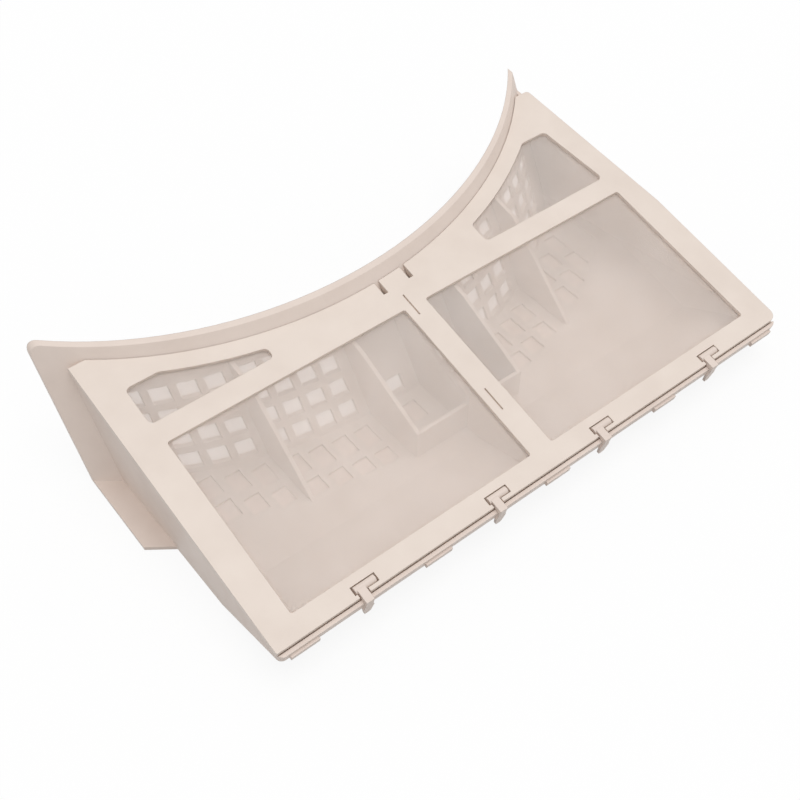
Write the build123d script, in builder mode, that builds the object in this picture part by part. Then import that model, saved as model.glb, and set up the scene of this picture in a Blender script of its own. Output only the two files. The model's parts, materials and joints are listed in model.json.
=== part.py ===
from build123d import *
import os
from math import cos, radians, sin, sqrt, tan

# Tumble dryer lint filter: a hinged screen frame over a moulded grille housing.
# Millimetres, +Z up. It rests on the flat floor of the housing, at Z = 0, with the screen leaning back.
# Places on the screen are (u, v, n): along the hinge edge, from that edge to the arc, and out of its face.

# Rest position
rest_angle = 12.6
window_line_height = 26.4
window_line_setback = 48.0

# Outline of the screen frame
frame_thickness = 4.0
front_edge = 11.5
left_front = 165.5
left_back = 168.4
right_side = 166.6
right_knee = 85.0
right_back = 156.4
back_reach = 191.0
left_reach = 162.8
front_edge_bevel = 1.2
horn_radius = 2.5
front_right_radius = 5.0
front_left_radius = 1.0

# Arc of the door opening, which the back edge of the frame follows: its overrun is past the frame's right end
arc_centre_u = -23.2
arc_overrun = 30.9
arc_radius_v = 159.9
arc_bar = 10.0

# Windows of the screen frame
window_outer = 150.0
centre_bar = 13.7
large_window_height = 102.6
large_corner_radius = 1.5
cross_bar = 12.2
arc_margin = 9.3
small_corner_radius = 3.0
small_left_outer = 151.5
small_left_flat = 18.3
small_left_end = 6.6
small_right_outer = 149.5
small_right_shoulder = 143.0
small_right_flat = 17.6
small_right_end = 13.3

# Woven screens, welded under a ledge of the frame
mesh_thickness = 0.6
mesh_depth = 2.0
mesh_margin = 2.0
mesh_clearance = 0.3

# Spring tongue at the arc and slits in the centre bar
tongue_width = 15.0
tongue_slot = 3.0
tongue_length = 9.0
slit_length = 14.5
slit_width = 0.9
slit_depth = 1.2
slit_offset = 1.9
slit_places = (35.0, 103.4)

# Housing tray
wall_thickness = 2.5
side_inset = 0.6
rim_gap = 0.4
floor_thickness = 3.6
grille_recess = 1.4
bend_line = -10.0
front_wall_gap = 0.5
front_wall_thickness = 2.1
front_wall_height = 2.8
rail_drop = 2.4
rail_left_radius = 3.0
rail_right_radius = 5.5
ramp_thickness = 2.0
facet_foot = 17.3
facet_height = 10.9
facet_fall = 0.117

# Curved grille wall, which leans less towards its ends, its lip over the screen, its wing and its flange
wall_lean = 34.4
foot_middle = 36.0
foot_radius_v = 160.0
edge_gap = 0.4
lip_height = 4.6
wing_width = 10.6
wing_radius = 6.0
flange_front = 39.0
flange_overlap = 24.0
flange_slant = 17.8

# Square holes of the grille: columns and rows in each cell from left to right
hole_pitch = 13.2
cell_hole_start = (14.6, 7.3, 18.6, 17.8, 6.7, 16.4)
cell_columns = (4, 4, 1, 1, 4, 3)
wall_hole_width = 9.4
wall_hole_height = 7.6
wall_row_first = 8.2
wall_row_pitch = 10.7
wall_row_margin = 3.0
cell_wall_rows = (5, 5, 1, 1, 5, 5)
floor_hole_width = 9.0
floor_hole_length = 13.2
floor_hole_margin = 0.8
floor_row_gap = 5.2
floor_row_pitch = 18.2
cell_floor_rows = (2, 2, 1, 1, 2, 2)
grille_band = 32.4
band_radius_v = 132.2

# Ribs inside the pocket
rib_thickness = 2.2
rib_places = (-98.5, -39.6, -5.8, 28.7, 88.0)
gusset_angle = 41.0
gusset_foot = 3.0
cell_rib_angle = 24.6
cross_wall_place = -1.0
cross_wall_height = 21.6
centre_rib_front = 2.0
rib_root = 1.0

# Hinge hooks of the housing and saddles of the frame
hinge_places = (-114.8, -35.0, 35.0, 114.8)
hinge_setback = 7.2
hinge_depth = 1.2
pin_radius = 2.0
pin_length = 11.6
pin_clearance = 0.3
pin_end_gap = 1.0
swing_clearance = 0.4
hook_offset = 2.6
hook_width = 4.4
hook_thickness = 1.4
hook_gap = 0.8
hook_rise = 0.6
arm_thickness = 2.8
foot_width = 6.2
foot_shoulder = 2.4
foot_tip_width = 3.4
foot_tip_radius = 1.2
foot_length = 6.8
saddle_wall = 1.7

# Catch steps along the front rail
catch_count = 5
catch_width = 15.5
catch_left_gap = 4.8
catch_right_gap = 6.0
catch_reach = 1.4
catch_root = 0.9
catch_drop = 0.2
catch_height = 3.0

# Reach of the cutting bodies, well past every wall
far = 260.0

arc_radius_u = right_back + arc_overrun - arc_centre_u
cross_top = large_window_height + cross_bar
arc_centre_v = cross_top + arc_bar + arc_radius_v
tilt = radians(rest_angle)
arc_lean = radians(90 - wall_lean - rest_angle)
arc_shift = cos(arc_lean) / sin(arc_lean)
arc_stretch = 1 / sin(arc_lean)
foot_stretch = 1 / cos(radians(wall_lean))
lip_centre_v = arc_centre_v + lip_height * arc_shift
foot_centre_y = foot_middle + foot_radius_v
band_middle_y = foot_middle - grille_band + band_radius_v


def place(u, v, n):
    """The point at (u, v, n) of the screen."""
    y = v * cos(tilt) - n * sin(tilt) - window_line_setback
    z = v * sin(tilt) + n * cos(tilt) + window_line_height
    return (u, y, z)


def frame_section(u):
    """The plane across the screen at u, with v to its right and n up."""
    return Plane(origin=place(u, 0, 0), x_dir=(0, cos(tilt), sin(tilt)), z_dir=(1, 0, 0))


def arc_fall(u):
    """The arc's height over its middle line, on the line at u, for a radius of one."""
    return sqrt(1 - ((u - arc_centre_u) / arc_radius_u) ** 2)


def arc_v(u):
    """Where the frame's back edge crosses the line at u."""
    return arc_centre_v - arc_radius_v * arc_fall(u)


def band_y(u):
    """Where the sunken band of the floor begins at u."""
    return band_middle_y - band_radius_v * arc_fall(u)


def wall_y(u, z):
    """Where the curved wall stands at u, at the height z."""
    foot_y = foot_centre_y - foot_radius_v * arc_fall(u)
    lip = place(u, lip_centre_v - arc_radius_v * arc_fall(u), lip_height)
    return foot_y + (lip[1] - foot_y) * z / lip[2]


def screen_outline(inset, front, back):
    """The outline of the screen from front to back before the arc is cut, with its sides set in."""
    left_slope = (left_back - left_front) / (back_reach + front_edge)
    points = (
        (inset - left_front + left_slope * (-front_edge - front), front),
        (right_side - inset, front),
        (right_side - inset, right_knee),
        (right_back - inset - right_slope * (back - back_reach), back),
        (inset - left_back - left_slope * (back - back_reach), back),
    )
    Polygon(*points, align=None)


def arc_body(inward, mode=Mode.ADD):
    """The space inside the curved wall's arc, from its lip to the table, drawn inward by part of a wall."""
    with BuildSketch(frame_face.offset(lip_height)) as lip_line:
        with Locations((arc_centre_u, lip_centre_v)):
            Ellipse(arc_radius_u - inward, arc_radius_v - inward * arc_stretch)
    with BuildSketch(Plane.XY) as foot_line:
        with Locations((arc_centre_u, foot_centre_y)):
            Ellipse(arc_radius_u - inward, foot_radius_v - inward * foot_stretch)
    loft((lip_line.sketch, foot_line.sketch), ruled=True, mode=mode)


def large_window(side, grow):
    """A large window on one side of the centre bar, made larger by grow all round."""
    width = window_outer - centre_bar / 2
    with Locations((side * (window_outer - width / 2), large_window_height / 2)):
        RectangleRounded(width + 2 * grow, large_window_height + 2 * grow, large_corner_radius + grow)


def margin_v(u):
    """Where the bar along the arc ends on the line at u."""
    across = (u - arc_centre_u) / (arc_radius_u + arc_margin)
    return arc_centre_v - (arc_radius_v + arc_margin) * sqrt(1 - across**2)


def margin_u(side, v):
    """Where the bar along the arc ends at v, on one side of the arc's middle."""
    along = (arc_centre_v - v) / (arc_radius_v + arc_margin)
    return arc_centre_u + side * (arc_radius_u + arc_margin) * sqrt(1 - along**2)


def small_window(plane, side, grow):
    """The small window on one side, between the cross bar and the arc, made larger by grow all round."""
    outer, shoulder, flat, end = small_windows[side]
    high = (shoulder - side * flat, margin_v(shoulder - side * flat))
    low = (margin_u(side, cross_top + end), cross_top + end)
    middle_u = (low[0] + high[0]) / 2
    with BuildSketch(plane) as window:
        with BuildLine():
            Polyline(high, (shoulder, high[1]), (outer, cross_top), (low[0], cross_top), low)
            ThreePointArc(low, (middle_u, margin_v(middle_u)), high)
        make_face()
        fillet(window.vertices(), small_corner_radius)
        if grow:
            offset(amount=grow)
    return window.sketch


def side_profile(u, width, points, mode=Mode.ADD):
    """A body of the given width across the housing at u, with a profile in Y and Z."""
    with BuildSketch(Plane.YZ.offset(u - width / 2)) as profile:
        Polygon(*points, align=None)
    extrude(profile.sketch, amount=width, mode=mode)


def hole_columns(cell):
    """The middles of the hole columns of a cell."""
    first = cell_walls[cell] + cell_hole_start[cell]
    return [first + column * hole_pitch for column in range(cell_columns[cell])]


right_slope = (right_side - right_back) / (back_reach - right_knee)
frame_face = Plane(origin=place(0, 0, 0), x_dir=(1, 0, 0), z_dir=(0, -sin(tilt), cos(tilt)))
frame_back = frame_face.offset(-frame_thickness)
rim_drop = frame_thickness + rim_gap
small_windows = {
    -1: (-small_left_outer, -small_left_outer, small_left_flat, small_left_end),
    1: (small_right_outer, small_right_shoulder, small_right_flat, small_right_end),
}
hinge_line = (-hinge_setback, -hinge_depth)
saddle_radius = pin_radius + pin_clearance
saddle_width = pin_length + 2 * pin_end_gap
boss_radius = saddle_radius + saddle_wall
boss_width = saddle_width + 2 * saddle_wall
hook_slot = hook_width + 2 * hook_gap

# Screen frame: a plate cut along the arc on the slant of the curved wall, with windows, tongue and saddles
with BuildPart() as screen_frame:
    with BuildSketch(frame_face):
        screen_outline(0, -front_edge, back_reach)
    extrude(amount=-frame_thickness)
    back_face = screen_frame.faces().sort_by(Axis.Y)[-1]
    fillet(back_face.edges().sort_by(Axis.X)[-1], horn_radius)
    front_face = screen_frame.faces().sort_by(Axis.Y)[0]
    fillet(front_face.edges().sort_by(Axis.X)[-1], front_right_radius)
    front_face = screen_frame.faces().sort_by(Axis.Y)[0]
    fillet(front_face.edges().sort_by(Axis.X)[0], front_left_radius)
    with BuildSketch(frame_section(-far)):
        bevel = (
            (-front_edge, -frame_thickness),
            (front_edge_bevel - front_edge, -frame_thickness),
            (-front_edge, front_edge_bevel - frame_thickness),
        )
        Polygon(*bevel, align=None)
    extrude(amount=2 * far, mode=Mode.SUBTRACT)
    arc_body(0, mode=Mode.SUBTRACT)
    with BuildSketch(frame_face):
        with Locations((-left_back, left_reach)):
            Rectangle(far, far, align=(Align.CENTER, Align.MIN))
    extrude(amount=-frame_thickness, mode=Mode.SUBTRACT)
    with BuildSketch(frame_face):
        large_window(-1, 0)
        large_window(1, 0)
    extrude(amount=-frame_thickness, mode=Mode.SUBTRACT)
    with BuildSketch(frame_back):
        large_window(-1, mesh_margin)
        large_window(1, mesh_margin)
    extrude(amount=frame_thickness - mesh_depth, mode=Mode.SUBTRACT)
    for side in (-1, 1):
        extrude(small_window(frame_face, side, 0), amount=-frame_thickness, mode=Mode.SUBTRACT)
        rebate = small_window(frame_back, side, mesh_margin)
        extrude(rebate, amount=frame_thickness - mesh_depth, mode=Mode.SUBTRACT)
    with BuildSketch(frame_face):
        for side in (-1, 1):
            slot_u = side * (tongue_width + tongue_slot) / 2
            with Locations((slot_u, arc_v(slot_u))):
                Rectangle(tongue_slot, 2 * tongue_length)
    extrude(amount=-frame_thickness, mode=Mode.SUBTRACT)
    with BuildSketch(frame_face):
        for slit_v in slit_places:
            with Locations((-slit_offset, slit_v)):
                Rectangle(slit_width, slit_length)
    extrude(amount=-slit_depth, mode=Mode.SUBTRACT)
    for hinge_u in hinge_places:
        with BuildSketch(frame_section(hinge_u - boss_width / 2)):
            with Locations(hinge_line):
                Circle(boss_radius)
            with Locations((-hinge_setback, boss_radius - hinge_depth)):
                Rectangle(2 * boss_radius, 2 * boss_radius, mode=Mode.SUBTRACT)
        extrude(amount=boss_width)
        with BuildSketch(frame_section(hinge_u - saddle_width / 2)):
            with Locations(hinge_line):
                Circle(saddle_radius)
            with Locations((-hinge_setback, boss_radius - hinge_depth)):
                Rectangle(2 * saddle_radius, 2 * boss_radius)
        extrude(amount=saddle_width, mode=Mode.SUBTRACT)
        with BuildSketch(frame_section(hinge_u - hook_offset - hook_slot / 2)):
            with Locations((saddle_radius - hinge_setback, 0)):
                Rectangle(front_edge, 4 * frame_thickness, align=(Align.MAX, Align.CENTER))
        extrude(amount=hook_slot, mode=Mode.SUBTRACT)

# Woven screens, each flat against the ledge round its window
mesh_face = frame_face.offset(-mesh_depth)
mesh_grow = mesh_margin - mesh_clearance
with BuildPart() as mesh_large_left:
    with BuildSketch(mesh_face):
        large_window(-1, mesh_grow)
    extrude(amount=-mesh_thickness)
with BuildPart() as mesh_large_right:
    with BuildSketch(mesh_face):
        large_window(1, mesh_grow)
    extrude(amount=-mesh_thickness)
with BuildPart() as mesh_small_left:
    extrude(small_window(mesh_face, -1, mesh_grow), amount=-mesh_thickness)
with BuildPart() as mesh_small_right:
    extrude(small_window(mesh_face, 1, mesh_grow), amount=-mesh_thickness)

right_wall_face = Plane(
    origin=place(right_back - side_inset, back_reach, 0),
    z_dir=(-1, -right_slope * cos(tilt), -right_slope * sin(tilt)),
)

# Curved grille wall with its lip: a ruled ring between the arc of the lip and the arc of its foot
wing_end = left_back + wing_width
lip_centre = place(0, lip_centre_v, lip_height)
wall_middle = Plane(
    origin=(0, foot_centre_y, 0),
    x_dir=(1, 0, 0),
    z_dir=(0, lip_centre[2], foot_centre_y - lip_centre[1]),
)
with BuildPart() as curved_wall:
    arc_body(edge_gap)
    arc_body(edge_gap + wall_thickness, mode=Mode.SUBTRACT)
    split(bisect_by=wall_middle, keep=Keep.BOTTOM)
    split(bisect_by=Plane.YZ.offset(-wing_end), keep=Keep.TOP)
    split(bisect_by=right_wall_face, keep=Keep.TOP)
    end_face = curved_wall.faces().sort_by(Axis.X)[0]
    fillet(end_face.edges().sort_by(Axis.Z)[-1], wing_radius)

# Room inside the pocket, down to the floor and the front ramp
front_inside = front_edge + front_wall_gap
front_outside = front_inside + front_wall_thickness
front_bottom = rim_drop + front_wall_height
ramp_top = place(0, -front_inside, ramp_thickness - front_bottom)
ramp_bottom = place(0, -front_outside, -front_bottom)
grille_floor = floor_thickness - grille_recess
pocket_left = left_front - side_inset - wall_thickness
pocket_right = right_back - side_inset - wall_thickness
right_facet = Plane(
    origin=(right_side - facet_foot, bend_line, 0),
    z_dir=(-facet_height, facet_foot * facet_fall, facet_foot),
)
with BuildPart() as pocket_space:
    with BuildSketch(frame_face):
        screen_outline(side_inset + wall_thickness, -front_inside, far)
    extrude(amount=-far)
    floor_line = (
        (-far, ramp_top[2]),
        (ramp_top[1], ramp_top[2]),
        (bend_line, floor_thickness),
        (2 * far, floor_thickness),
        (2 * far, -2 * far),
        (-far, -2 * far),
    )
    side_profile(0, 2 * far, floor_line, mode=Mode.SUBTRACT)
    with BuildSketch(Plane.XY.offset(grille_floor)):
        with Locations((arc_centre_u, band_middle_y)):
            Ellipse(arc_radius_u, band_radius_v)
        with Locations(((pocket_right - pocket_left) / 2, 0)):
            Rectangle(pocket_left + pocket_right, far, mode=Mode.INTERSECT)
    extrude(amount=floor_thickness)
    split(bisect_by=right_facet.offset(wall_thickness), keep=Keep.TOP)

# Housing: tray, flange and ribs trimmed to the curved wall, then the wall, holes, hooks and catches
with BuildPart() as filter_housing:
    with BuildSketch(frame_face):
        screen_outline(side_inset, -front_outside, arc_v(right_back))
    extrude(amount=-far)
    front_face = filter_housing.faces().sort_by(Axis.Y)[0]
    fillet(front_face.edges().sort_by(Axis.X)[-1], rail_right_radius)
    front_face = filter_housing.faces().sort_by(Axis.Y)[0]
    fillet(front_face.edges().sort_by(Axis.X)[0], rail_left_radius)
    base_line = (
        (-far, ramp_bottom[2]),
        (ramp_bottom[1], ramp_bottom[2]),
        (bend_line, 0),
        (2 * far, 0),
        (2 * far, -2 * far),
        (-far, -2 * far),
    )
    side_profile(0, 2 * far, base_line, mode=Mode.SUBTRACT)
    split(bisect_by=right_facet, keep=Keep.TOP)
    add(pocket_space.part, mode=Mode.SUBTRACT)
    with BuildSketch(Plane.XY):
        flange = (
            (-wing_end, flange_front),
            (flange_overlap - wing_end, flange_front - flange_slant),
            (flange_overlap - wing_end, band_middle_y),
            (-wing_end, band_middle_y),
        )
        Polygon(*flange, align=None)
    extrude(amount=grille_floor)
    for rib_u in (rib_places[0], rib_places[-1]):
        foot_y = band_y(rib_u) - gusset_foot
        gusset_top = floor_thickness + (band_middle_y - foot_y) * tan(radians(gusset_angle))
        gusset = (
            (foot_y, rib_root),
            (foot_y, floor_thickness),
            (band_middle_y, gusset_top),
            (band_middle_y, rib_root),
        )
        side_profile(rib_u, rib_thickness, gusset)
    cell_rib_top = cross_wall_height + (band_middle_y - cross_wall_place) * tan(radians(cell_rib_angle))
    cell_rib = (
        (cross_wall_place, rib_root),
        (cross_wall_place, cross_wall_height),
        (band_middle_y, cell_rib_top),
        (band_middle_y, rib_root),
    )
    for rib_u in rib_places[1:-1]:
        side_profile(rib_u, rib_thickness, cell_rib)
    cross_wall = (
        (cross_wall_place, rib_root),
        (cross_wall_place, cross_wall_height),
        (cross_wall_place + rib_thickness, cross_wall_height),
        (cross_wall_place + rib_thickness, rib_root),
    )
    side_profile((rib_places[1] + rib_places[-2]) / 2, rib_places[-2] - rib_places[1], cross_wall)
    rib_front_y = place(0, centre_rib_front, -rim_drop)[1]
    rib_front_z = rib_root + (ramp_bottom[2] * (bend_line - rib_front_y)) / (bend_line - ramp_bottom[1])
    centre_rib = (
        (rib_front_y, rib_front_z),
        (bend_line, rib_root),
        (cross_wall_place, rib_root),
        (cross_wall_place, far),
        (rib_front_y, far),
    )
    side_profile(rib_places[2], rib_thickness, centre_rib)
    arc_body(edge_gap + wall_thickness / 2, mode=Mode.SUBTRACT)
    with BuildSketch(frame_section(-far)):
        above_rim = (
            (-far, -rail_drop),
            (-front_edge, -rail_drop),
            (-front_edge, -rim_drop),
            (far, -rim_drop),
            (far, far),
            (-far, far),
        )
        Polygon(*above_rim, align=None)
    extrude(amount=2 * far, mode=Mode.SUBTRACT)
    front_overhang = front_edge - hinge_setback
    bevel_height = frame_thickness - hinge_depth - front_edge_bevel
    with BuildSketch(frame_section(-far)):
        with Locations(hinge_line):
            Circle(sqrt(front_overhang**2 + bevel_height**2) + swing_clearance)
    extrude(amount=2 * far, mode=Mode.SUBTRACT)
    add(curved_wall.part)
    cell_walls = (-pocket_left, *rib_places)
    hole_start = cross_wall_place + 2 * rib_thickness
    with BuildSketch(Plane.XZ.offset(-hole_start)):
        for cell, rows in enumerate(cell_wall_rows):
            for hole_u in hole_columns(cell):
                rim_z = place(hole_u, arc_v(hole_u) - rim_drop * arc_shift, -rim_drop)[2]
                for row in range(rows):
                    hole_z = wall_row_first + row * wall_row_pitch
                    if hole_z + wall_hole_height / 2 + wall_row_margin < rim_z:
                        with Locations((hole_u, hole_z)):
                            Rectangle(wall_hole_width, wall_hole_height)
    extrude(amount=-far, mode=Mode.SUBTRACT)
    with BuildSketch(Plane.XY.offset(-floor_thickness)):
        for cell, rows in enumerate(cell_floor_rows):
            for hole_u in hole_columns(cell):
                band_left = band_y(hole_u - floor_hole_width / 2)
                band_right = band_y(hole_u + floor_hole_width / 2)
                band_front = max(band_left, band_right) + floor_hole_margin
                for row in range(rows):
                    hole_back = wall_y(hole_u, grille_floor) - floor_row_gap - row * floor_row_pitch
                    hole_front = max(hole_back - floor_hole_length, band_front)
                    with Locations((hole_u, hole_back)):
                        Rectangle(floor_hole_width, hole_back - hole_front, align=(Align.CENTER, Align.MAX))
    extrude(amount=2 * floor_thickness, mode=Mode.SUBTRACT)
    hook_face = Plane(
        origin=place(0, -front_outside, 0), x_dir=(1, 0, 0), z_dir=(0, -cos(tilt), -sin(tilt))
    )
    for hinge_u in hinge_places:
        hook_u = hinge_u - hook_offset
        foot_top = foot_shoulder - front_bottom
        foot_tip = -front_bottom - foot_length
        with BuildSketch(hook_face) as hook:
            with BuildLine():
                Polyline(
                    (hook_u - hook_width / 2, hook_rise),
                    (hook_u - hook_width / 2, foot_top),
                    (hook_u - foot_width / 2, -front_bottom),
                    (hook_u - foot_tip_width / 2, foot_tip),
                    (hook_u + foot_tip_width / 2, foot_tip),
                    (hook_u + foot_width / 2, -front_bottom),
                    (hook_u + hook_width / 2, foot_top),
                    (hook_u + hook_width / 2, hook_rise),
                    close=True,
                )
            make_face()
            fillet(hook.vertices().sort_by(Axis.Y)[:2], foot_tip_radius)
        extrude(amount=hook_thickness)
        with BuildSketch(frame_section(hook_u - hook_width / 2)):
            with Locations((-hinge_setback, hook_rise)):
                Rectangle(
                    front_outside + hook_thickness - hinge_setback,
                    arm_thickness,
                    align=(Align.MAX, Align.MAX),
                )
        extrude(amount=hook_width)
        with BuildSketch(frame_section(hinge_u - pin_length / 2)):
            with Locations(hinge_line):
                Circle(pin_radius)
        extrude(amount=pin_length)
    first_catch = side_inset + catch_left_gap + catch_width / 2 - left_front
    last_catch = right_side - side_inset - catch_right_gap - catch_width / 2
    for step in range(catch_count):
        catch_u = first_catch + step * (last_catch - first_catch) / (catch_count - 1)
        with BuildSketch(frame_section(catch_u - catch_width / 2)):
            with Locations((catch_root - front_outside, -front_bottom - catch_drop)):
                Rectangle(catch_root + catch_reach, catch_height, align=(Align.MAX, Align.MIN))
        extrude(amount=catch_width)

pieces = {
    "filter_housing": filter_housing,
    "screen_frame": screen_frame,
    "mesh_large_left": mesh_large_left,
    "mesh_large_right": mesh_large_right,
    "mesh_small_left": mesh_small_left,
    "mesh_small_right": mesh_small_right,
}
os.makedirs("parts", exist_ok=True)
for name, piece in pieces.items():
    piece.part.label = name
    export_step(piece.part, "parts/" + name + ".step")
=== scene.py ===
import json
from math import atan2, radians

import bmesh
import bpy
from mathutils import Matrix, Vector

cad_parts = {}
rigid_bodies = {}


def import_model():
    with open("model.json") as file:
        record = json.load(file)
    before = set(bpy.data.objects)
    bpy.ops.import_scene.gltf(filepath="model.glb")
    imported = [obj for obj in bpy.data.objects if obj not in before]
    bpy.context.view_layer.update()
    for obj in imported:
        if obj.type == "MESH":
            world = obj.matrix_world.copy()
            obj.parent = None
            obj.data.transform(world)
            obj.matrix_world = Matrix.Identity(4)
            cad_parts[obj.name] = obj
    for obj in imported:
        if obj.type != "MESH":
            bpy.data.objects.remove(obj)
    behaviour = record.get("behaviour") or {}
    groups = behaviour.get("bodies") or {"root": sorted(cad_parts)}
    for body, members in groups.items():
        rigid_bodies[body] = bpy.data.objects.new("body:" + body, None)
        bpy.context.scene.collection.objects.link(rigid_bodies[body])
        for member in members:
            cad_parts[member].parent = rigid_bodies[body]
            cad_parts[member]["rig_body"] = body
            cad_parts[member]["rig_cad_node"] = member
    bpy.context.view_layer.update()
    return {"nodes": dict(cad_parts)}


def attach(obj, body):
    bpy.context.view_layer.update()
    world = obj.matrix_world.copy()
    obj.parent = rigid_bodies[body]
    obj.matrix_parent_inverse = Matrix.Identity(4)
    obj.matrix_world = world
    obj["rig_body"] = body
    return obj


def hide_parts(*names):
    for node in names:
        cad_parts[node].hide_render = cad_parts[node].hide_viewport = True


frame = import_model()

bl_info = {
    "name": "Lint Filter Finish",
    "version": (1, 0, 0),
    "blender": (4, 5, 0),
    "location": "3D View > Sidebar > Lint Filter",
    "description": "Finishes a tumble dryer lint filter: moulded plastic, woven screens and a studio stage",
    "category": "Object",
}

HOUSING_BODY = "housing"
SCREEN_BODY = "screen"
HOUSING_NODE = "filter_housing"
FRAME_NODE = "screen_frame"
# Woven piece and the plain sheet of the frame that it stands for
SCREEN_NODES = {
    "woven_large_left": "mesh_large_left",
    "woven_large_right": "mesh_large_right",
    "woven_small_left": "mesh_small_left",
    "woven_small_right": "mesh_small_right",
}

# Edges of the holed part of the housing, which the moulded-in linings close
GRILLE_LEFT, GRILLE_RIGHT = -0.157, 0.140
GRILLE_FRONT, GRILLE_FOOT, GRILLE_TOP = 0.003, 0.003, 0.057
# Most edges that the outline of one hole has
HOLE_EDGES = 8
# How far the outside of the curved wall looks back and down at least, and how far back it starts
WALL_BACKWARD, WALL_DOWNWARD, WALL_START = 0.3, -0.15, 0.02
# How far the underside looks down at least, and how high it lies at most
UNDERSIDE_DOWNWARD, UNDERSIDE_HEIGHT = -0.99, 0.0005

# Shares of red, green and blue in the darker and the paler patches of each finish
PLASTIC_DARK, PLASTIC_PALE = (0.965, 0.955, 0.95), (1.02, 1.02, 1.02)
CLOTH_DARK, CLOTH_PALE = (0.96, 0.95, 0.94), (1.03, 1.03, 1.03)
RIM_DARK, RIM_PALE = (0.86, 0.84, 0.82), (1, 1, 1)
# Plastic: detail of its noises, fineness of its polish, spread of its roughness, grain, gloss, edge samples
MOTTLE_DETAIL, POLISH_DETAIL, GRAIN_DETAIL = 3, 4, 2
POLISH_PER_MOTTLE = 3
SMOOTHER, ROUGHER = 0.05, 0.06
GRAIN_STRENGTH = 0.35
PLASTIC_GLOSS = 0.35
EDGE_SAMPLES = 6
# Cloth: blur of a thread's edge as a share of the pitch, patches, relief of the threads, roughness and gloss
THREAD_BLUR = 0.04
CLOTH_DETAIL = 2
THREAD_RELIEF = 0.06
CLOTH_ROUGHNESS = 0.5
CLOTH_GLOSS = 0.3
# Melted rim: detail of its noise, range of its roughness and strength of its dimples
MELT_DETAIL = 3
RIM_SMOOTH, RIM_ROUGH = 0.35, 0.55
DIMPLE_STRENGTH = 0.5

# Modelling: points this close are one, faces this much alike look the same way, edges this flat are gone or
# smooth, and a cloth has at least this many facets each way
MERGE_DISTANCE = 0.000001
SAME_WAY = 0.9
FLAT_ANGLE = radians(1)
SMOOTH_ANGLE = radians(30)
FEWEST_FACETS = 2

# Stage: whiteness and roughness of the floor, steps of its rounded corners, and how near the camera sees
FLOOR_WHITE = 0.98
FLOOR_ROUGHNESS = 0.8
FLOOR_CORNER_STEPS = 8
CAMERA_NEAR = 0.01

BACK = Vector((0, 1, 0))
UP = Vector((0, 0, 1))


def upper_side(node):
    """The largest face of a flat node that looks up."""
    faces = [face for face in frame["nodes"][node].data.polygons if face.normal.z > 0]
    return max(faces, key=lambda face: face.area)


screen_normal = upper_side(SCREEN_NODES["woven_large_left"]).normal.copy()
screen_tilt = atan2(-screen_normal.y, screen_normal.z)
along_screen = Vector((1, 0, 0))
up_screen = screen_normal.cross(along_screen)


class PlasticSettings(bpy.types.PropertyGroup):
    """Colour and surface of the two mouldings."""

    housing_colour: bpy.props.FloatVectorProperty(
        name="Housing colour",
        description="Pinkish beige of the housing",
        subtype="COLOR",
        size=4,
        min=0,
        max=1,
        default=(0.79, 0.68, 0.61, 1),
    )
    frame_colour: bpy.props.FloatVectorProperty(
        name="Frame colour",
        description="Slightly paler beige of the screen frame",
        subtype="COLOR",
        size=4,
        min=0,
        max=1,
        default=(0.81, 0.71, 0.635, 1),
    )
    roughness: bpy.props.FloatProperty(
        name="Roughness",
        description="Middle roughness of the satin surface",
        subtype="FACTOR",
        min=0,
        max=1,
        default=0.46,
    )
    mottle_size: bpy.props.FloatProperty(
        name="Mottle size",
        description="Size of the soft tone patches in the moulding",
        subtype="DISTANCE",
        default=0.022,
    )
    grain_size: bpy.props.FloatProperty(
        name="Grain size",
        description="Size of the fine spark grain of the mould",
        subtype="DISTANCE",
        default=0.0005,
    )
    grain_depth: bpy.props.FloatProperty(
        name="Grain depth",
        description="Depth of the fine spark grain",
        subtype="DISTANCE",
        default=0.00003,
    )
    edge_radius: bpy.props.FloatProperty(
        name="Edge radius",
        description="Rounding that the mould leaves on outer edges",
        subtype="DISTANCE",
        default=0.0004,
    )


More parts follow.
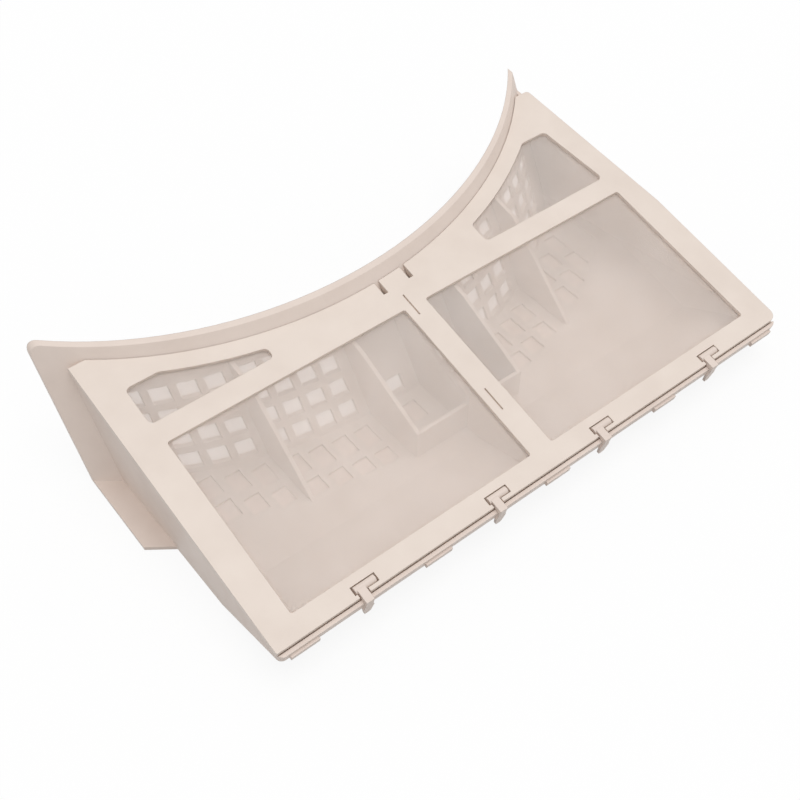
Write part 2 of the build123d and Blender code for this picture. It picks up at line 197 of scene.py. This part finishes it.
class WovenSettings(bpy.types.PropertyGroup):
    """Sizes and colours of the woven screens and of the linings of the grille."""

    thread_colour: bpy.props.FloatVectorProperty(
        name="Thread colour",
        description="Milky white of the nylon threads",
        subtype="COLOR",
        size=4,
        min=0,
        max=1,
        default=(0.995, 0.91, 0.85, 1),
    )
    lining_colour: bpy.props.FloatVectorProperty(
        name="Lining colour",
        description="Beige of the lining of the grille",
        subtype="COLOR",
        size=4,
        min=0,
        max=1,
        default=(0.97, 0.82, 0.74, 1),
    )
    thread_pitch: bpy.props.FloatProperty(
        name="Thread pitch",
        description="Distance from one thread to the next",
        subtype="DISTANCE",
        default=0.0005,
    )
    thread_share: bpy.props.FloatProperty(
        name="Thread share",
        description="Part of the pitch that a thread covers",
        subtype="FACTOR",
        min=0.05,
        max=0.95,
        default=0.165,
    )
    lining_pitch: bpy.props.FloatProperty(
        name="Lining thread pitch",
        description="Distance from one thread to the next in the finer lining of the grille",
        subtype="DISTANCE",
        default=0.0003,
    )
    wall_share: bpy.props.FloatProperty(
        name="Wall lining thread share",
        description="Part of the pitch that a thread covers in the lining of the curved wall",
        subtype="FACTOR",
        min=0.05,
        max=0.95,
        default=0.22,
    )
    # The floor lining is real, but its extra thread cover over the wall's is painted shade: it darkens the
    # holes where the floor beneath lies in the filter's shade
    floor_shade_share: bpy.props.FloatProperty(
        name="Floor lining thread share",
        description="Part of the pitch that a thread covers in the denser lining of the floor",
        subtype="FACTOR",
        min=0.05,
        max=0.95,
        default=0.55,
    )
    lining_depth: bpy.props.FloatProperty(
        name="Lining depth",
        description="How far the lining lies under the outside of the grille",
        subtype="DISTANCE",
        default=0.0005,
    )
    cloth_thickness: bpy.props.FloatProperty(
        name="Cloth thickness",
        description="Thickness of the woven cloth",
        subtype="DISTANCE",
        default=0.00025,
    )
    rim_width: bpy.props.FloatProperty(
        name="Rim width",
        description="Width of the fused rim under the ledge of the frame",
        subtype="DISTANCE",
        default=0.0017,
    )
    rim_thickness: bpy.props.FloatProperty(
        name="Rim thickness",
        description="Thickness of the fused rim",
        subtype="DISTANCE",
        default=0.0005,
    )
    slack_border: bpy.props.FloatProperty(
        name="Slack border",
        description="Distance from the rim over which the cloth stays taut",
        subtype="DISTANCE",
        default=0.001,
    )
    slack: bpy.props.FloatProperty(
        name="Slack",
        description="How far the stretched cloth still waves",
        subtype="DISTANCE",
        default=0.0003,
    )
    slack_size: bpy.props.FloatProperty(
        name="Slack size",
        description="Size of the waves and of the tone patches in the stretched cloth",
        subtype="DISTANCE",
        default=0.03,
    )
    grid_step: bpy.props.FloatProperty(
        name="Grid step",
        description="Side of one facet of the cloth",
        subtype="DISTANCE",
        default=0.006,
    )


class StageSettings(bpy.types.PropertyGroup):
    """Camera, light and floor."""

    camera_place: bpy.props.FloatVectorProperty(
        name="Camera place",
        description="Where the camera stands",
        subtype="TRANSLATION",
        default=(-0.2655, -0.2723, 0.4603),
    )
    camera_target: bpy.props.FloatVectorProperty(
        name="Camera target",
        description="Point that the camera looks at",
        subtype="TRANSLATION",
        default=(-0.0240, 0.0345, 0.0047),
    )
    camera_lens: bpy.props.FloatProperty(
        name="Camera lens",
        description="Focal length in millimetres on a 36 mm sensor",
        unit="CAMERA",
        default=50.13,
    )
    floor_size: bpy.props.FloatProperty(
        name="Floor size",
        description="Side of the pale floor",
        subtype="DISTANCE",
        default=8,
    )
    floor_rounding: bpy.props.FloatProperty(
        name="Floor rounding",
        description="Rounding of the corners of the floor",
        subtype="DISTANCE",
        default=1.5,
    )
    floor_bounce: bpy.props.FloatProperty(
        name="Floor bounce",
        description="Part of the light that the floor throws back on the filter",
        subtype="FACTOR",
        min=0,
        max=1,
        default=0.5,
    )
    floor_shadow: bpy.props.FloatProperty(
        name="Floor shadow",
        description="How strongly the floor shows the shadow of the filter",
        subtype="FACTOR",
        min=0,
        max=1,
        default=0.12,
    )
    ambient: bpy.props.FloatProperty(
        name="Ambient light",
        description="Level of the light from all round",
        min=0,
        default=0.66,
    )
    key_light: bpy.props.FloatProperty(
        name="Key light",
        description="Strength of the broad light from above",
        min=0,
        default=1.02,
    )
    key_spread: bpy.props.FloatProperty(
        name="Key spread",
        description="Angle that the broad light covers, for soft shadows",
        subtype="ANGLE",
        default=radians(50),
    )
    key_from: bpy.props.FloatVectorProperty(
        name="Key from",
        description="Direction that the broad light comes from",
        subtype="DIRECTION",
        default=(0.15, -0.1, 1),
    )


def clear_selection():
    """Leaves nothing selected, in object mode."""
    if bpy.context.object and bpy.context.object.mode != "OBJECT":
        bpy.ops.object.mode_set(mode="OBJECT")
    bpy.ops.object.select_all(action="DESELECT")


def take_up(piece):
    """Selects one piece alone and makes it the active one."""
    clear_selection()
    piece.select_set(True)
    bpy.context.view_layer.objects.active = piece


def edit_only(piece):
    """Opens one piece for modelling, with faces to pick and none picked."""
    take_up(piece)
    bpy.ops.object.mode_set(mode="EDIT")
    bpy.ops.mesh.select_mode(type="FACE")
    bpy.ops.mesh.select_all(action="DESELECT")


def pick_faces(piece, wanted):
    """Selects the faces of the open piece that a test wants, and no others."""
    shape = bmesh.from_edit_mesh(piece.data)
    for face in shape.faces:
        face.select_set(bool(wanted(face)))
    shape.select_flush_mode()
    bmesh.update_edit_mesh(piece.data)


def add_thickness(piece, thickness):
    """Gives an open sheet its thickness, on the side that its faces look away from."""
    wall = piece.modifiers.new("thickness", "SOLIDIFY")
    wall.thickness = thickness
    wall.offset = -1


def apply_modifiers(piece):
    """Turns the modifiers of a piece into its mesh, in order."""
    take_up(piece)
    for modifier in [modifier.name for modifier in piece.modifiers]:
        bpy.ops.object.modifier_apply(modifier=modifier)


def give_material(piece, material):
    """Gives a piece one material in place of what it has."""
    piece.data.materials.clear()
    piece.data.materials.append(material)


def blank_material(name):
    """A new material with a Principled surface: its nodes, links and surface node."""
    material = bpy.data.materials.new(name)
    material.use_nodes = True
    tree = material.node_tree
    return material, tree.nodes, tree.links, tree.nodes["Principled BSDF"]


def noise(nodes, links, place, size, detail):
    """Noise patches of a given size on the piece's own coordinates."""
    texture = nodes.new("ShaderNodeTexNoise")
    texture.inputs["Scale"].default_value = 1 / size
    texture.inputs["Detail"].default_value = detail
    links.new(place, texture.inputs["Vector"])
    return texture.outputs["Fac"]


def remap(nodes, links, value, low, high, start=0.3, end=0.7):
    """Spreads a value, such as a noise, over a range."""
    spread = nodes.new("ShaderNodeMapRange")
    spread.inputs["From Min"].default_value = start
    spread.inputs["From Max"].default_value = end
    spread.inputs["To Min"].default_value = low
    spread.inputs["To Max"].default_value = high
    links.new(value, spread.inputs["Value"])
    return spread.outputs["Result"]


def reckon(nodes, links, operation, first, second):
    """Works out one value from another and a second one, which may be a plain number."""
    step = nodes.new("ShaderNodeMath")
    step.operation = operation
    links.new(first, step.inputs[0])
    if isinstance(second, float):
        step.inputs[1].default_value = second
    else:
        links.new(second, step.inputs[1])
    return step.outputs["Value"]


def grey(level):
    """A colour without a hue."""
    return (level, level, level, 1)


def shade(colour, shares):
    """A colour with its red, green and blue each taken by a share."""
    return tuple(part * share for part, share in zip(colour, shares)) + (1,)


def mix_tones(nodes, links, value, low, high):
    """Goes from one colour to another as a value goes from 0 to 1."""
    tone = nodes.new("ShaderNodeMix")
    tone.data_type = "RGBA"
    tone.inputs["A"].default_value = low
    tone.inputs["B"].default_value = high
    links.new(value, tone.inputs["Factor"])
    return tone.outputs["Result"]


def raise_surface(nodes, links, height, strength, depth):
    """Lets the surface follow a height."""
    bump = nodes.new("ShaderNodeBump")
    bump.inputs["Strength"].default_value = strength
    bump.inputs["Distance"].default_value = depth
    links.new(height, bump.inputs["Height"])
    return bump


def moulded_plastic(name, colour, settings):
    """Satin moulded plastic: soft tone patches, spark grain and slightly rounded edges."""
    material, nodes, links, surface = blank_material(name)
    place = nodes.new("ShaderNodeTexCoord").outputs["Object"]
    patches = remap(nodes, links, noise(nodes, links, place, settings.mottle_size, MOTTLE_DETAIL), 0, 1)
    tone = mix_tones(nodes, links, patches, shade(colour, PLASTIC_DARK), shade(colour, PLASTIC_PALE))
    links.new(tone, surface.inputs["Base Color"])
    polish = noise(nodes, links, place, settings.mottle_size / POLISH_PER_MOTTLE, POLISH_DETAIL)
    rough = remap(nodes, links, polish, settings.roughness - SMOOTHER, settings.roughness + ROUGHER)
    links.new(rough, surface.inputs["Roughness"])
    rounding = nodes.new("ShaderNodeBevel")
    rounding.samples = EDGE_SAMPLES
    rounding.inputs["Radius"].default_value = settings.edge_radius
    sparks = noise(nodes, links, place, settings.grain_size, GRAIN_DETAIL)
    grain = raise_surface(nodes, links, sparks, GRAIN_STRENGTH, settings.grain_depth)
    links.new(rounding.outputs["Normal"], grain.inputs["Normal"])
    links.new(grain.outputs["Normal"], surface.inputs["Normal"])
    surface.inputs["Specular IOR Level"].default_value = PLASTIC_GLOSS
    return material


def thread_profile(nodes, links, place, pitch, share):
    """How much a row of threads covers each point, and the distance to the middle of its thread."""
    middle = reckon(nodes, links, "PINGPONG", place, pitch / 2)
    half = pitch / 2 * share
    blur = pitch * THREAD_BLUR
    return remap(nodes, links, middle, 1, 0, half - blur, half + blur), middle


def woven_cloth(name, colour, tilt, pitch, share, patch_size):
    """Open plain weave of pale threads, turned to run along a tilted sheet."""
    material, nodes, links, surface = blank_material(name)
    turn = nodes.new("ShaderNodeMapping")
    turn.inputs["Rotation"].default_value = (-tilt, 0, 0)
    links.new(nodes.new("ShaderNodeTexCoord").outputs["Object"], turn.inputs["Vector"])
    split = nodes.new("ShaderNodeSeparateXYZ")
    links.new(turn.outputs["Vector"], split.inputs["Vector"])
    warp, across = thread_profile(nodes, links, split.outputs["X"], pitch, share)
    weft, along = thread_profile(nodes, links, split.outputs["Y"], pitch, share)
    links.new(reckon(nodes, links, "MAXIMUM", warp, weft), surface.inputs["Alpha"])
    round_top = reckon(nodes, links, "MINIMUM", across, along)
    threads = raise_surface(nodes, links, round_top, THREAD_RELIEF, pitch * share)
    threads.invert = True
    links.new(threads.outputs["Normal"], surface.inputs["Normal"])
    patches = remap(nodes, links, noise(nodes, links, turn.outputs["Vector"], patch_size, CLOTH_DETAIL), 0, 1)
    tone = mix_tones(nodes, links, patches, shade(colour, CLOTH_DARK), shade(colour, CLOTH_PALE))
    links.new(tone, surface.inputs["Base Color"])
    surface.inputs["Roughness"].default_value = CLOTH_ROUGHNESS
    surface.inputs["Specular IOR Level"].default_value = CLOTH_GLOSS
    return material


def fused_rim(name, settings):
    """The melted, closed edge of the cloth where it is welded to the frame."""
    material, nodes, links, surface = blank_material(name)
    place = nodes.new("ShaderNodeTexCoord").outputs["Object"]
    colour = settings.thread_colour
    melt = noise(nodes, links, place, settings.rim_width, MELT_DETAIL)
    patches = remap(nodes, links, melt, 0, 1)
    tone = mix_tones(nodes, links, patches, shade(colour, RIM_DARK), shade(colour, RIM_PALE))
    links.new(tone, surface.inputs["Base Color"])
    links.new(remap(nodes, links, melt, RIM_SMOOTH, RIM_ROUGH), surface.inputs["Roughness"])
    dimples = raise_surface(nodes, links, melt, DIMPLE_STRENGTH, settings.cloth_thickness)
    links.new(dimples.outputs["Normal"], surface.inputs["Normal"])
    return material


def copy_faces(name, node, wanted):
    """A copy of the wanted faces of a CAD node, merged, open and picked all over."""
    take_up(frame["nodes"][node])
    bpy.ops.object.duplicate()
    piece = bpy.context.object
    piece.name = name
    piece.data.name = name
    piece.parent = None
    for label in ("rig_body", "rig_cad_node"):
        del piece[label]
    edit_only(piece)
    bpy.ops.mesh.select_all(action="SELECT")
    bpy.ops.mesh.remove_doubles(threshold=MERGE_DISTANCE)
    bpy.ops.mesh.customdata_custom_splitnormals_clear()
    pick_faces(piece, lambda face: not wanted(face))
    bpy.ops.mesh.delete(type="FACE")
    bpy.ops.mesh.select_all(action="SELECT")
    return piece


def flat_cut(name, node):
    """The upper side of a plain sheet of the frame, copied as one flat face."""
    piece = copy_faces(name, node, lambda face: face.normal.dot(screen_normal) > SAME_WAY)
    bpy.ops.mesh.dissolve_limited(angle_limit=FLAT_ANGLE)
    bpy.ops.object.mode_set(mode="OBJECT")
    return piece


def cut_grid(piece, direction, step):
    """Cuts the open piece across a direction, at even steps."""
    reach = [vertex.co.dot(direction) for vertex in bmesh.from_edit_mesh(piece.data).verts]
    count = max(FEWEST_FACETS, round((max(reach) - min(reach)) / step))
    for cut in range(1, count):
        place = min(reach) + (max(reach) - min(reach)) * cut / count
        bpy.ops.mesh.select_all(action="SELECT")
        bpy.ops.mesh.bisect(plane_co=direction * place, plane_no=direction)


def weave_screen(name, node, settings, cloth, rim):
    """One woven screen: a fused rim round an open cloth that waves a little."""
    piece = flat_cut(name, node)
    give_material(piece, rim)
    piece.data.materials.append(cloth)
    edit_only(piece)
    bpy.ops.mesh.select_all(action="SELECT")
    bpy.ops.mesh.inset(thickness=settings.rim_width)
    piece.active_material_index = 1
    bpy.ops.object.material_slot_assign()
    bpy.ops.mesh.inset(thickness=settings.slack_border)
    piece.vertex_groups.new(name="open_cloth")
    bpy.ops.object.vertex_group_assign()
    cut_grid(piece, along_screen, settings.grid_step)
    cut_grid(piece, up_screen, settings.grid_step)
    bpy.ops.object.mode_set(mode="OBJECT")
    waves = bpy.data.textures.new(name + "_waves", "CLOUDS")
    waves.noise_scale = settings.slack_size
    slack = piece.modifiers.new("slack", "DISPLACE")
    slack.texture = waves
    slack.texture_coords = "LOCAL"
    slack.strength = settings.slack
    slack.vertex_group = "open_cloth"
    add_thickness(piece, settings.cloth_thickness)
    apply_modifiers(piece)
    edit_only(piece)
    pick_faces(piece, lambda face: face.material_index == 0 and face.normal.dot(screen_normal) < -SAME_WAY)
    bead = screen_normal * (settings.cloth_thickness - settings.rim_thickness)
    bpy.ops.mesh.extrude_region_move(TRANSFORM_OT_translate={"value": bead})
    bpy.ops.object.mode_set(mode="OBJECT")
    bpy.ops.object.shade_smooth_by_angle(angle=SMOOTH_ANGLE)
    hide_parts(node)
    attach(piece, SCREEN_BODY)


def outside_of_wall(face):
    """True for the outside of the curved grille wall, which looks back and down."""
    leans = face.normal.y > WALL_BACKWARD and face.normal.z < WALL_DOWNWARD
    return leans and face.calc_center_median().y > WALL_START


def underside(face):
    """True for the side of the floor that lies on the table."""
    return face.normal.z < UNDERSIDE_DOWNWARD and face.calc_center_median().z < UNDERSIDE_HEIGHT


def trim(low, high, axis):
    """Cuts the open piece off below and above two places on an axis."""
    for place, way in ((low, -1), (high, 1)):
        if place is not None:
            bpy.ops.mesh.select_all(action="SELECT")
            bpy.ops.mesh.bisect(plane_co=axis * place, plane_no=axis * way, clear_outer=True)


def line_grille(name, side, rise, low, high, inward, share, settings):
    """One lining, moulded into the grille behind its holes: rise is the axis that it climbs along."""
    piece = copy_faces(name, HOUSING_NODE, side)
    bpy.ops.mesh.fill_holes(sides=HOLE_EDGES)
    trim(GRILLE_LEFT, GRILLE_RIGHT, along_screen)
    trim(low, high, rise)
    bpy.ops.mesh.select_all(action="SELECT")
    bpy.ops.transform.translate(value=inward * settings.lining_depth)
    bpy.ops.object.mode_set(mode="OBJECT")
    facing = sum((face.normal * face.area for face in piece.data.polygons), Vector()).normalized()
    tilt = atan2(facing.y, -facing.z)
    weave = (settings.lining_pitch, share, settings.slack_size)
    give_material(piece, woven_cloth(name + "_cloth", settings.lining_colour, tilt, *weave))
    add_thickness(piece, settings.cloth_thickness)
    apply_modifiers(piece)
    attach(piece, HOUSING_BODY)


class LINTFILTER_OT_finish_housing(bpy.types.Operator):
    """Give the housing its moulded plastic"""

    bl_idname = "lint_filter.finish_housing"
    bl_label = "Finish Housing"

    def execute(self, context):
        settings = context.scene.lint_filter_plastic
        plastic = moulded_plastic("housing_plastic_satin", settings.housing_colour, settings)
        give_material(frame["nodes"][HOUSING_NODE], plastic)
        return {"FINISHED"}


class LINTFILTER_OT_finish_frame(bpy.types.Operator):
    """Give the screen frame its moulded plastic"""

    bl_idname = "lint_filter.finish_frame"
    bl_label = "Finish Screen Frame"

    def execute(self, context):
        settings = context.scene.lint_filter_plastic
        plastic = moulded_plastic("frame_plastic_satin", settings.frame_colour, settings)
        give_material(frame["nodes"][FRAME_NODE], plastic)
        return {"FINISHED"}


class LINTFILTER_OT_weave_screens(bpy.types.Operator):
    """Weave the four screens into the windows of the frame"""

    bl_idname = "lint_filter.weave_screens"
    bl_label = "Weave Screens"

    def execute(self, context):
        settings = context.scene.lint_filter_woven
        weave = (settings.thread_pitch, settings.thread_share, settings.slack_size)
        cloth = woven_cloth("screen_cloth", settings.thread_colour, screen_tilt, *weave)
        rim = fused_rim("screen_rim", settings)
        for name, node in SCREEN_NODES.items():
            weave_screen(name, node, settings, cloth, rim)
        return {"FINISHED"}


class LINTFILTER_OT_line_grille(bpy.types.Operator):
    """Close the holes of the curved wall and of the floor with woven linings"""

    bl_idname = "lint_filter.line_grille"
    bl_label = "Line Grille"

    def execute(self, context):
        settings = context.scene.lint_filter_woven
        wall, floor = settings.wall_share, settings.floor_shade_share
        line_grille("woven_grille_wall", outside_of_wall, UP, GRILLE_FOOT, GRILLE_TOP, -BACK, wall, settings)
        # The floor lining's denser share is painted shade for the shaded floor seen through its holes
        line_grille("woven_grille_floor", underside, BACK, GRILLE_FRONT, None, UP, floor, settings)
        return {"FINISHED"}


def white_ray(nodes, links):
    """One for rays that show the plain white background, zero for rays that light the filter."""
    path = nodes.new("ShaderNodeLightPath").outputs
    seen = reckon(nodes, links, "MAXIMUM", path["Is Camera Ray"], path["Is Glossy Ray"])
    return reckon(nodes, links, "MAXIMUM", seen, path["Is Transmission Ray"])


def mix_surfaces(nodes, links, value, low, high, output):
    """Goes from one shader to another as a value goes from 0 to 1, and sends the result out."""
    blend = nodes.new("ShaderNodeMixShader")
    links.new(value, blend.inputs["Fac"])
    links.new(low, blend.inputs[1])
    links.new(high, blend.inputs[2])
    links.new(blend.outputs["Shader"], nodes[output].inputs["Surface"])


def pale_floor(settings):
    """A rounded white floor that keeps a faint shadow."""
    clear_selection()
    bpy.ops.mesh.primitive_plane_add(size=settings.floor_size)
    floor = bpy.context.object
    floor.name = "pale_floor"
    bpy.ops.object.mode_set(mode="EDIT")
    bpy.ops.mesh.select_all(action="SELECT")
    bpy.ops.mesh.bevel(offset=settings.floor_rounding, segments=FLOOR_CORNER_STEPS, affect="VERTICES")
    bpy.ops.object.mode_set(mode="OBJECT")
    material, nodes, links, surface = blank_material("pale_floor")
    shown = white_ray(nodes, links)
    tone = mix_tones(nodes, links, shown, grey(settings.floor_bounce), grey(FLOOR_WHITE))
    links.new(tone, surface.inputs["Base Color"])
    surface.inputs["Roughness"].default_value = FLOOR_ROUGHNESS
    surface.inputs["Specular IOR Level"].default_value = 0
    glow = nodes.new("ShaderNodeEmission").outputs["Emission"]
    share = reckon(nodes, links, "MULTIPLY", shown, 1 - settings.floor_shadow)
    mix_surfaces(nodes, links, share, surface.outputs["BSDF"], glow, "Material Output")
    give_material(floor, material)


def white_surround(settings):
    """White for the eye, and even soft light for the filter."""
    world = bpy.data.worlds.new("white_surround")
    bpy.context.scene.world = world
    world.use_nodes = True
    nodes, links = world.node_tree.nodes, world.node_tree.links
    light = nodes["Background"]
    light.inputs["Color"].default_value = grey(1)
    light.inputs["Strength"].default_value = settings.ambient
    white = nodes.new("ShaderNodeBackground")
    white.inputs["Color"].default_value = grey(1)
    lit, shown = light.outputs["Background"], white.outputs["Background"]
    mix_surfaces(nodes, links, white_ray(nodes, links), lit, shown, "World Output")


def broad_light(settings):
    """One broad light from above."""
    bpy.ops.object.light_add(type="SUN", location=Vector(settings.key_from))
    lamp = bpy.context.object
    lamp.name = "broad_light"
    lamp.rotation_euler = Vector(settings.key_from).to_track_quat("Z", "Y").to_euler()
    lamp.data.energy = settings.key_light
    lamp.data.angle = settings.key_spread


def photo_camera(settings):
    """The camera at the photograph's viewing angle."""
    place = Vector(settings.camera_place)
    aim = Vector(settings.camera_target) - place
    bpy.ops.object.camera_add(location=place, rotation=aim.to_track_quat("-Z", "Y").to_euler())
    camera = bpy.context.object
    camera.name = "photo_camera"
    camera.data.lens = settings.camera_lens
    camera.data.clip_start = CAMERA_NEAR
    bpy.context.scene.camera = camera


class LINTFILTER_OT_set_stage(bpy.types.Operator):
    """Set the floor, the light and the camera"""

    bl_idname = "lint_filter.set_stage"
    bl_label = "Set Stage"

    def execute(self, context):
        settings = context.scene.lint_filter_stage
        context.scene.view_settings.view_transform = "Standard"
        pale_floor(settings)
        white_surround(settings)
        broad_light(settings)
        photo_camera(settings)
        return {"FINISHED"}


class LINTFILTER_PT_panel(bpy.types.Panel):
    """Lists the steps of the finish and their settings"""

    bl_idname = "LINTFILTER_PT_panel"
    bl_label = "Lint Filter"
    bl_space_type = "VIEW_3D"
    bl_region_type = "UI"
    bl_category = "Lint Filter"

    def draw(self, context):
        # Each step, and the settings that are listed after it
        steps = {
            LINTFILTER_OT_finish_housing: None,
            LINTFILTER_OT_finish_frame: context.scene.lint_filter_plastic,
            LINTFILTER_OT_weave_screens: None,
            LINTFILTER_OT_line_grille: context.scene.lint_filter_woven,
            LINTFILTER_OT_set_stage: context.scene.lint_filter_stage,
        }
        for step, settings in steps.items():
            self.layout.operator(step.bl_idname)
            if settings:
                for name in settings.__annotations__:
                    self.layout.prop(settings, name)


classes = (
    PlasticSettings,
    WovenSettings,
    StageSettings,
    LINTFILTER_OT_finish_housing,
    LINTFILTER_OT_finish_frame,
    LINTFILTER_OT_weave_screens,
    LINTFILTER_OT_line_grille,
    LINTFILTER_OT_set_stage,
    LINTFILTER_PT_panel,
)
settings_groups = {
    "lint_filter_plastic": PlasticSettings,
    "lint_filter_woven": WovenSettings,
    "lint_filter_stage": StageSettings,
}


def register():
    for each in classes:
        bpy.utils.register_class(each)
    for name, group in settings_groups.items():
        setattr(bpy.types.Scene, name, bpy.props.PointerProperty(type=group))


def unregister():
    for name in settings_groups:
        delattr(bpy.types.Scene, name)
    for each in reversed(classes):
        bpy.utils.unregister_class(each)


def main():
    """Finishes the filter step by step and sets its stage."""
    register()
    bpy.ops.lint_filter.finish_housing()
    bpy.ops.lint_filter.finish_frame()
    bpy.ops.lint_filter.weave_screens()
    bpy.ops.lint_filter.line_grille()
    bpy.ops.lint_filter.set_stage()


if __name__ == "__main__":
    main()
